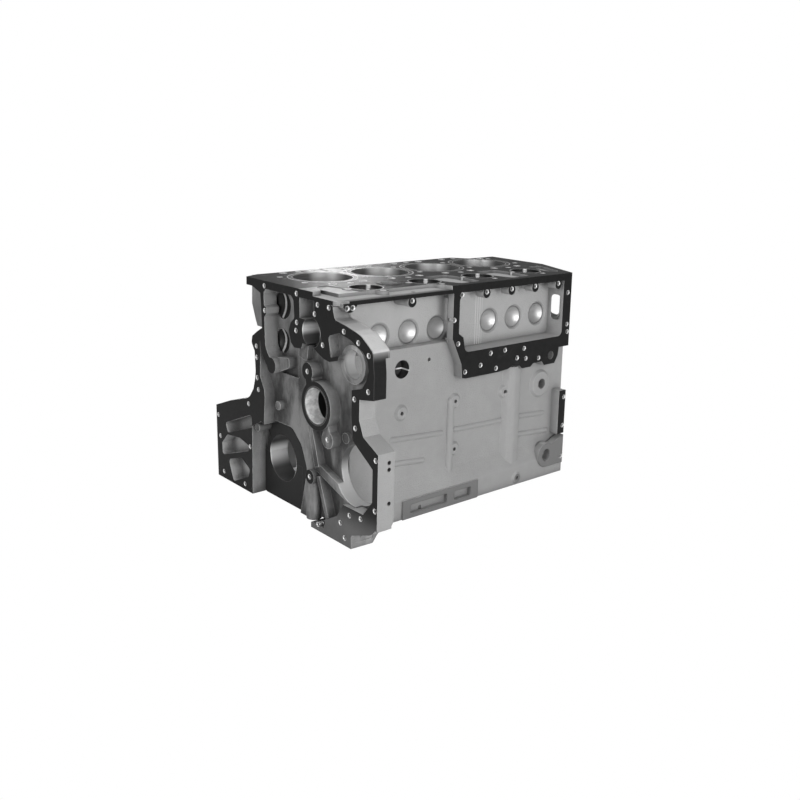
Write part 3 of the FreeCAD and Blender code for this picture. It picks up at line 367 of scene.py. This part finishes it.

        # painted light lines for the upright fluting at the front end of the cooler panel
        flute_light = self.both(self.step(self.maths("SINE", self.times(self.x, 1130.0)), 0.1, 0.9),
                           self.near(self.x, 0.036, 0.010), self.nearward,
                           self.near(self.y, panel_y, 0.002))
        cast = self.blend(self.times(flute_light, 0.7), cast, 0.62)

        # painted light on the upward faces of the pockets just below the deck, and the dark seats
        # of the pumps
        pocket_light = self.both(self.upward, self.step(self.z, deck_z - 0.012, deck_z - 0.008),
                           self.step(self.z, deck_z - 0.0025, deck_z - 0.0040))
        cast = self.blend(self.times(pocket_light, 0.7), cast, 0.66)
        seats = self.either(*[self.step(self.distance(self.x, self.y, centre), 0.0282, 0.0276)
                              for centre in pump_centres])
        seats = self.both(seats, self.upward, self.near(self.z, deck_z - 0.006, 0.0008))
        return self.blend(seats, cast, 0.02)

    def black_tone(self):
        """Machined gasket faces, which the photo shows nearly black."""
        grain = self.noise(60.0, 3.0, 0.6, (1, 24, 1))
        tone = self.blend(grain, 0.006, 0.020)
        tone = self.blend(self.times(self.pad, 0.8), tone, 0.030)
        worn = self.step(self.noise(22.0, 4.0, 0.7), 0.60, 0.72)
        tone = self.blend(self.times(worn, 0.25), tone, 0.06)
        tone = self.blend(self.times(self.low_cover, 0.8), tone, 0.26)
        # the front face of the foot is lighter: partly its own grey, partly a painted reflection
        foot = self.both(self.forward, self.step(self.y, -0.085, -0.100),
                         self.step(self.z, 0.000, -0.050))
        tone = self.blend(self.times(foot, self.level(self.cloud, 0.5, 1.0)), tone, 0.17)
        # painted highlight on the edges
        return self.blend(self.times(self.lit_edges, 0.5), tone, 0.12)

    def deck_tone(self):
        """Mostly dark, with a painted sheen where the ground metal catches the light between the
        bores, painted glints and painted highlights on the rims.
        """
        mill = self.noise(20.0, 4.0, 0.7, (1, 30, 1))
        tone = self.blend(mill, 0.012, 0.045)
        corner = self.both(self.step(self.y, -0.086, -0.090), self.step(self.x, -0.236, -0.241))
        tone = self.blend(corner, tone, 0.38)
        # painted sheen between the first two bores, and painted glints over the deck
        sheen = self.both(
            self.step(self.distance(self.x, self.y, (-0.138, 0.035)), 0.080, 0.045),
            self.step(self.noise(16.0, 4.0, 0.65, (2.2, 1, 1)), 0.38, 0.50))
        glints = self.step(self.noise(38.0, 3.0, 0.7, (1, 2.4, 1)), 0.60, 0.70)
        bright = self.either(self.times(sheen, 0.75), self.times(glints, 0.14))
        tone = self.blend(bright, tone, 0.95)
        # painted highlights on the rims of the liners and the pump bores
        rims = [self.ring(self.x, self.y, ((station, 0.0), 0.0625), 0.0011)
                for station in cylinder_stations]
        rims += [self.ring(self.x, self.y, (centre, 0.0290), 0.0012) for centre in pump_centres]
        return self.blend(self.times(self.either(*rims), 0.8), tone, 0.65)

    def bore_tone(self):
        """Turned walls: bright, each with painted light and painted shade where they fall into it.
        """
        tone = self.blend(self.noise(30.0, 3.0, 0.6, (30, 1, 1)), 0.30, 0.70)
        # painted shade inside the pump bores
        pump_wall_shade = self.both(self.bores, self.step(self.z, 0.262, 0.268),
                              self.step(self.y, -0.168, -0.164),
                              self.step(self.x, -0.240, -0.235))
        tone = self.blend(pump_wall_shade, tone, 0.03)
        # upright painted highlights in the pump bores
        tone = self.blend(self.streak_highlight, tone, 0.95)

        # painted shade and light on the wall of the main bearing bore at the front: dark above the
        # axis, lighter towards the bottom
        main = self.both(self.ring(self.y, self.z, main_bore, 0.001),
                         self.step(self.x, -0.2, -0.22))
        glow = self.times(self.step(self.z, 0.022, 0.000),
                          self.level(self.step(self.z, -0.030, -0.006), 0.08, 1.0))
        tone = self.blend(main, tone, self.blend(glow, 0.040, 0.95))

        # painted highlights and painted shade on the walls of the gallery, idler and drive bores
        height = self.size(self.subtract(self.z, 0.256))
        streaks = self.level(self.noise(60.0, 3.0, 0.6, (1, 1, 8)), 0.5, 1.3)
        gleam = self.both(self.step(height, 0.013, 0.001), streaks)
        lit = ((gallery_bore, gleam, 0.10, 0.95),
               (idler_bore, self.step(self.x, -0.300, -0.286), 0.12, 0.55),
               (drive_bore, self.step(self.z, 0.060, 0.022), 0.12, 0.62))
        for bore, light, dark_level, bright_level in lit:
            wall = self.ring(self.y, self.z, bore, 0.001)
            tone = self.blend(wall, tone, self.blend(light, dark_level, bright_level))
        return tone

    def port(self):
        """Mask of the large port in the near wall, and its tone: painted shade inside, with one
        painted glint.
        """
        mask = self.both(self.step(self.distance(self.x, self.z, side_port[0]), 0.0162, 0.0158),
                         self.step(self.y, -0.120, -0.125))
        glint = self.both(self.step(self.x, -0.160, -0.150), self.near(self.z, 0.1785, 0.0012))
        return mask, self.blend(glint, 0.03, 0.85)

    def build(self):
        colour = self.blend(self.black, self.cast_tone(), self.black_tone())
        near_edge = self.both(self.upward, self.near(self.z, deck_z - 0.0065, 0.0012),
                              self.step(self.y, -0.180, -0.197))
        colour = self.blend(self.times(near_edge, 0.8), colour, 0.03)
        colour = self.blend(self.deck, colour, self.deck_tone())
        colour = self.blend(self.bores, colour, self.bore_tone())
        port, port_tone = self.port()
        colour = self.blend(port, colour, port_tone)

        rough, metallic = 0.62, 0.10
        for mask, mask_rough, mask_metallic in ((self.black, 0.40, 0.25),
                                                (self.inside, 0.46, 0.35),
                                                (self.deck, 0.34, 0.0),
                                                (self.bores, 0.30, 0.35)):
            rough = self.level(mask, rough, mask_rough)
            metallic = self.level(mask, metallic, mask_metallic)
        specular = self.level(self.deck, self.level(self.black, 0.5, 0.20), 0.035)

        # grit of the sand mould, much weaker on machined faces, and soft swells at the gear end
        machined = self.either(self.black, self.deck, self.bores)
        swell = self.times(self.noise(34.0, 2.0, 0.5), self.inside, 3.0)
        grit = self.add(self.times(self.sand, 0.6), self.times(self.grains(420.0), 0.5), swell,
                        self.times(self.mottle, 1.2))
        self.bump(grit, self.level(machined, 0.75, 0.06), 0.0012)
        return self.finish(colour, rough, metallic, specular)


# ---- materials of the other pieces -----------------------------------------------------------
def bushing_material():
    """Bright bearing shell; the tunnel behind the first shell gets painted shade."""
    s = Shader("bright_bushing")
    stain = s.noise(60.0, 4.0, 0.65)
    colour = s.blend(s.step(stain, 0.35, 0.62), 0.60, 1.0)
    # painted shade on the shells deeper in the tunnel
    tunnel_shade = s.step(s.x, front_x + 0.025, front_x + 0.027)
    colour = s.blend(tunnel_shade, colour, 0.012)
    end = s.step(s.nx, -0.90, -0.97)
    colour = s.blend(end, colour, 0.06)
    s.bump(stain, 0.10, 0.0003)
    return s.finish(colour, 0.42, s.level(tunnel_shade, 0.15, 0.0), s.level(tunnel_shade, 0.5, 0.1))


def liner_material():
    """Honed wall with cross marks and a painted highlight on its far side, a dark gasket face and
    painted highlights on its thin edges.
    """
    s = Shader("honed_liner_iron")
    hone = s.noise(22.0, 5.0, 0.65, (1, 1, 26))
    # x from the axis of the liner that the point is on
    local = s.subtract(s.maths("FLOORED_MODULO", s.add(s.x, 2.0 * cylinder_pitch),
                               cylinder_pitch), cylinder_pitch / 2)
    # painted highlight: an upright band on the far wall of each liner
    lit = s.times(s.step(s.along_view(local, s.y), 0.040, 0.0545), s.step(s.z, 0.240, 0.316))
    colour = s.blend(hone, 0.08, 0.30)
    colour = s.blend(s.times(lit, 0.75), colour, 0.80)
    face = s.both(s.step(s.nz, 0.90, 0.97), s.step(s.z, deck_z - 0.0020, deck_z - 0.0010))
    gap = s.distance(local, s.y, (0.0, 0.0))
    # painted highlights on the inner and outer edges of the gasket face
    edge_gleam = s.either(s.step(gap, 0.0552, 0.0546), s.step(gap, 0.0615, 0.0620))
    colour = s.blend(face, colour, s.blend(edge_gleam, 0.030, 0.70))
    s.bump(hone, 0.10, 0.0003)
    return s.finish(colour, s.level(hone, 0.30, 0.42), s.level(face, 0.6, 0.2),
                    s.level(face, 0.5, 0.2))


def plug_material(name, shadowed=0.0):
    """Pressed steel cup with drawn streaks, painted shade in its creases and along its rim;
    shadowed ones get painted shade all over, with one painted glint.
    """
    s = Shader(name)
    streaks = s.noise(26.0, 4.0, 0.6, (1, 6, 1))
    stain = s.noise(70.0, 3.0, 0.6)
    colour = s.blend(s.add(s.times(streaks, 0.6), s.times(stain, 0.4)), 0.40, 0.72)
    # painted shade in creases
    crease_shade = s.step(s.hollow(0.010), 0.85, 0.45)
    colour = s.blend(s.times(crease_shade, 0.9), colour, 0.10)
    # painted shade along the rim
    rim = s.step(s.pointiness, 0.50, 0.56)
    colour = s.blend(s.times(rim, 0.7), colour, 0.16)
    # painted glint on the shadowed plugs
    gleam = s.both(s.near(s.y, 0.004, 0.0025), s.step(s.nx, -0.6, -0.8))
    colour = s.blend(shadowed, colour, s.blend(gleam, 0.045, 0.85))
    s.bump(streaks, 0.12, 0.0004)
    return s.finish(colour, s.level(stain, 0.34, 0.48), 0.75)


def bolt_material():
    """Dark bolt steel with tool marks and worn edges."""
    s = Shader("dark_bolt_steel")
    marks = s.noise(24.0, 5.0, 0.65, (1, 1, 6))
    stain = s.noise(35.0, 4.0, 0.6)
    colour = s.blend(s.add(s.times(marks, 0.7), s.times(stain, 0.3)), 0.05, 0.16)
    rim = s.step(s.pointiness, 0.53, 0.62)
    colour = s.blend(s.times(rim, 0.5), colour, 0.8)
    s.bump(marks, 0.10, 0.0003)
    return s.finish(colour, s.level(stain, 0.29, 0.45), 0.9)


def thread_material():
    """Freshly cut thread: bright crests that wind round the hole."""
    s = Shader("cut_thread_steel")
    marks = s.noise(700.0, 2.0, 0.5)
    colour = s.blend(marks, 0.50, 0.90)
    s.bump(marks, 0.2, 0.0002)
    return s.finish(colour, 0.34, 0.45)


def assign(prefix, material):
    for name, node in nodes.items():
        if name.startswith(prefix):
            node.data.materials.clear()
            node.data.materials.append(material)


iron = Casting().build()
assign("cylinder_block", iron)
assign("main_bearing_cap", iron)
assign("main_cap_bolts", bolt_material())
assign("cylinder_liner", liner_material())
assign("camshaft_bushing", bushing_material())
assign("side_core_plug", plug_material("plated_plug_steel"))
assign("far_core_plug", plug_material("far_plug_steel"))
assign("front_core_plug", plug_material("front_plug_steel", 1.0))


def even_shading(node):
    """Vertex normals weighted by face area, so that large flat faces shade flat."""
    mesh = node.data
    totals = [Vector() for _ in mesh.vertices]
    for face in mesh.polygons:
        push = face.normal * face.area
        for vertex in face.vertices:
            totals[vertex] += push
    mesh.polygons.foreach_set("use_smooth", [True] * len(mesh.polygons))
    up = Vector((0.0, 0.0, 1.0))
    mesh.normals_split_custom_set_from_vertices(
        [total.normalized() if total.length > 1e-12 else up for total in totals])


for node in nodes.values():
    even_shading(node)


# ---- bright countersinks and threads of the tapped holes -------------------------------------
threads = thread_material()
thread_turns = 6
thread_sides = 20
lip_depth = 0.0011          # depth of the countersink
crest_height = 0.0010       # how far the first crest stands inside the hole
root_gap = 0.0002           # how far the thread root stays inside the hole


def thread_profile(radius, lip, depth):
    """Radius and height of the countersink and of each crest and root, from the mouth down."""
    pitch = depth / thread_turns
    profile = [(radius + lip, 0.00006), (radius, 0.00004), (radius - crest_height, -lip_depth)]
    for turn in range(thread_turns):
        middle = -lip_depth - pitch * (turn + 0.5)
        profile.append((radius - crest_height, middle + 0.25 * pitch))
        profile.append((radius - root_gap, middle - 0.25 * pitch))
    return profile


def thread_rims(name, spots, axis, radius, lip=0.0005, depth=0.008):
    """One mesh of countersunk thread mouths; a spot is the centre of the mouth on its face."""
    axis = Vector(axis)
    side = axis.orthogonal().normalized()
    other = axis.cross(side)
    profile = thread_profile(radius, lip, depth)
    rows = len(profile)
    points, faces = [], []
    for spot in spots:
        start = len(points)
        for step in range(thread_sides):
            angle = 2.0 * math.pi * step / thread_sides
            out = side * math.cos(angle) + other * math.sin(angle)
            points += [Vector(spot) + out * r + axis * h for r, h in profile]
            a = start + step * rows
            b = start + ((step + 1) % thread_sides) * rows
            faces += [(a + k, a + k + 1, b + k + 1, b + k) for k in range(rows - 1)]
    mesh = bpy.data.meshes.new(name)
    mesh.from_pydata(points, [], faces)
    mesh.polygons.foreach_set("use_smooth", [True] * len(mesh.polygons))
    mesh.materials.append(threads)
    rims = bpy.data.objects.new(name, mesh)
    bpy.context.scene.collection.objects.link(rims)
    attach(rims, "root")


# tapped holes of the gear-case flange, as (y, z) in millimetres
flange_spots = [(17, 311), (16, 268), (44, 200), (43, 180), (42, 143), (38, 122), (-82, 311),
                (-83, 263), (-81, 249), (-142, 301), (-173, 301), (-134, 285), (-157, 238),
                (-213, 269.5), (-250, 258), (-276, 243), (-276, 187), (-242, 168), (-245, 122),
                (-297, 84), (-297, 3), (-233, -25), (-262, -21), (-209, -45), (-147, -69),
                (-221, -67), (183, 41), (176, 1), (164, -67), (87, -69), (68, 8), (72, 88),
                (-114, 186), (-122, 7)]
# tapped holes of the cover flange, the rail and the side pads, as (x, z) in millimetres
cover_spots = [(-59, 259), (-48, 216), (-29, 163), (9, 170), (34, 189), (71, 190), (49, 159),
               (122, 187), (104, 171), (128, 167), (164, 163), (239, 282), (241, 220), (243, 205),
               (-290, 302), (-279, 302), (-156, 302), (-42, 302), (18, 302), (82, 302), (145, 302),
               (210, 302), (244, 74), (244, 16), (244, -48)]
thread_rims("flange_threads", [(front_x, y / 1000.0, z / 1000.0) for y, z in flange_spots],
            (-1, 0, 0), 0.004)
thread_rims("oil_boss_thread", [(front_x + 0.004, -0.166, 0.082)], (-1, 0, 0), 0.004)
thread_rims("cover_threads", [(x / 1000.0, cover_y, z / 1000.0) for x, z in cover_spots],
            (0, -1, 0), 0.004)

# head bolts beside each cylinder; the far one of the last cylinder stands apart
bolt_spots = [(rear_x - 0.051, 0.050, deck_z)]
deck_spots = []
for station in cylinder_stations:
    for x in (station - 0.0325, station + 0.0325):
        bolt_spots.append((x, -0.075, deck_z))
        if x < 0.2:
            bolt_spots.append((x, 0.078, deck_z))
    deck_spots += [(station, -0.082, deck_z), (station, 0.078, deck_z)]
for bulkhead in range(5):
    deck_spots += [((bulkhead - 2) * cylinder_pitch, y, deck_z) for y in (-0.039, 0.039)]
stud_spots = [(x + dx, y + dy, deck_z) for x, y in pump_centres
              for dx, dy in ((-0.036, 0.001), (0.004, -0.041))]
thread_rims("head_bolt_threads", bolt_spots, (0, 0, 1), 0.006, 0.0016)
thread_rims("deck_drillings", deck_spots, (0, 0, 1), 0.0045, 0.0012)
thread_rims("pump_stud_threads", stud_spots, (0, 0, 1), 0.0042, 0.0012)


# ---- floor and air ---------------------------------------------------------------------------
def floor_material():
    """Pale studio floor: it keeps the contact shadow under the part and is white around it."""
    s = Shader("studio_floor")
    s.finish(s.blend(s.noise(3.0, 2.0, 0.5), 0.80, 0.84), 0.9, 0.0)
    beside = s.either(s.step(s.size(s.x), 0.255, 0.262), s.step(s.size(s.y), 0.146, 0.150))

    # the floor under the open crankcase glows faintly and lights it from below
    s.surface.inputs["Emission Color"].default_value = (1, 1, 1, 1)
    s.feed(s.surface.inputs["Emission Strength"], s.times(s.inverse(beside), 0.22))

    white = s.new("Emission")
    white.inputs["Color"].default_value = (1, 1, 1, 1)
    white.inputs["Strength"].default_value = 1.0
    from_above = s.new("MixShader")
    s.link(s.both(beside, s.new("LightPath").outputs["Is Camera Ray"]), from_above.inputs[0])
    s.link(s.surface.outputs[0], from_above.inputs[1])
    s.link(white.outputs[0], from_above.inputs[2])

    # seen from below, the floor lets the underside show
    both_sides = s.new("MixShader")
    s.link(s.new("NewGeometry").outputs["Backfacing"], both_sides.inputs[0])
    s.link(from_above.outputs[0], both_sides.inputs[1])
    s.link(s.new("BsdfTransparent").outputs[0], both_sides.inputs[2])
    s.link(both_sides.outputs[0], s.tree.nodes["Material Output"].inputs[0])
    return s.material


bpy.ops.mesh.primitive_plane_add(size=12.0, location=(0.0, 0.0, rail_z - 0.0005))
floor = bpy.context.object
floor.name = "studio_floor"
floor.data.materials.append(floor_material())

# soft grey light from all sides, while the camera sees white
world = bpy.data.worlds.new("studio_air")
bpy.context.scene.world = world
world.use_nodes = True
air = world.node_tree
soft = air.nodes["Background"]
soft.inputs["Color"].default_value = (0.80, 0.80, 0.80, 1)
soft.inputs["Strength"].default_value = 0.42
white = air.nodes.new("ShaderNodeBackground")
white.inputs["Color"].default_value = (1, 1, 1, 1)
white.inputs["Strength"].default_value = 1.0
path = air.nodes.new("ShaderNodeLightPath")
mix = air.nodes.new("ShaderNodeMixShader")
air.links.new(path.outputs["Is Camera Ray"], mix.inputs[0])
air.links.new(soft.outputs[0], mix.inputs[1])
air.links.new(white.outputs[0], mix.inputs[2])
air.links.new(mix.outputs[0], air.nodes["World Output"].inputs[0])


# ---- lamps -----------------------------------------------------------------------------------
def lamp(name, location, target, size, power):
    """A soft rectangular lamp, in watts, turned towards its target."""
    data = bpy.data.lights.new(name, "AREA")
    data.shape = "RECTANGLE"
    data.size, data.size_y = size
    data.energy = power
    light = bpy.data.objects.new(name, data)
    bpy.context.scene.collection.objects.link(light)
    light.location = location
    direction = Vector(target) - Vector(location)
    light.rotation_euler = direction.to_track_quat("-Z", "Y").to_euler()


middle = (0.0, -0.05, 0.12)
lamp("key", (-0.55, -2.4, 0.50), middle, (2.0, 1.3), 36.0)
lamp("front_fill", (-2.4, -0.7, 0.75), middle, (0.8, 1.0), 20.0)
lamp("deck_strip", (1.5, 2.2, 0.90), (-0.1, 0.05, 0.32), (0.35, 0.20), 3.0)
lamp("deck_soft", (-0.3, 0.3, 2.4), (0.0, 0.0, 0.32), (1.2, 1.2), 12.0)
# low enough to leave the deck dark
lamp("back_fill", (1.5, 2.0, 0.03), (0.0, 0.0, 0.03), (1.8, 0.36), 16.0)

# ---- camera, at the photo's angle ------------------------------------------------------------
camera_data = bpy.data.cameras.new("photo_view")
camera = bpy.data.objects.new("photo_view", camera_data)
bpy.context.scene.collection.objects.link(camera)
camera_data.sensor_width = 36.0
camera_data.lens = 41.973
camera_data.shift_y = -0.10
camera_data.clip_start = 0.05
azimuth = math.radians(-40.206)
tilt = math.radians(79.228)
roll = math.radians(1.277)
camera.matrix_world = (Matrix.Translation((-1.1504, -1.3458, 0.5581))
                       @ Matrix.Rotation(azimuth, 4, "Z")
                       @ Matrix.Rotation(tilt, 4, "X")
                       @ Matrix.Rotation(roll, 4, "Z"))
bpy.context.scene.camera = camera
bpy.context.scene.view_settings.view_transform = "Standard"
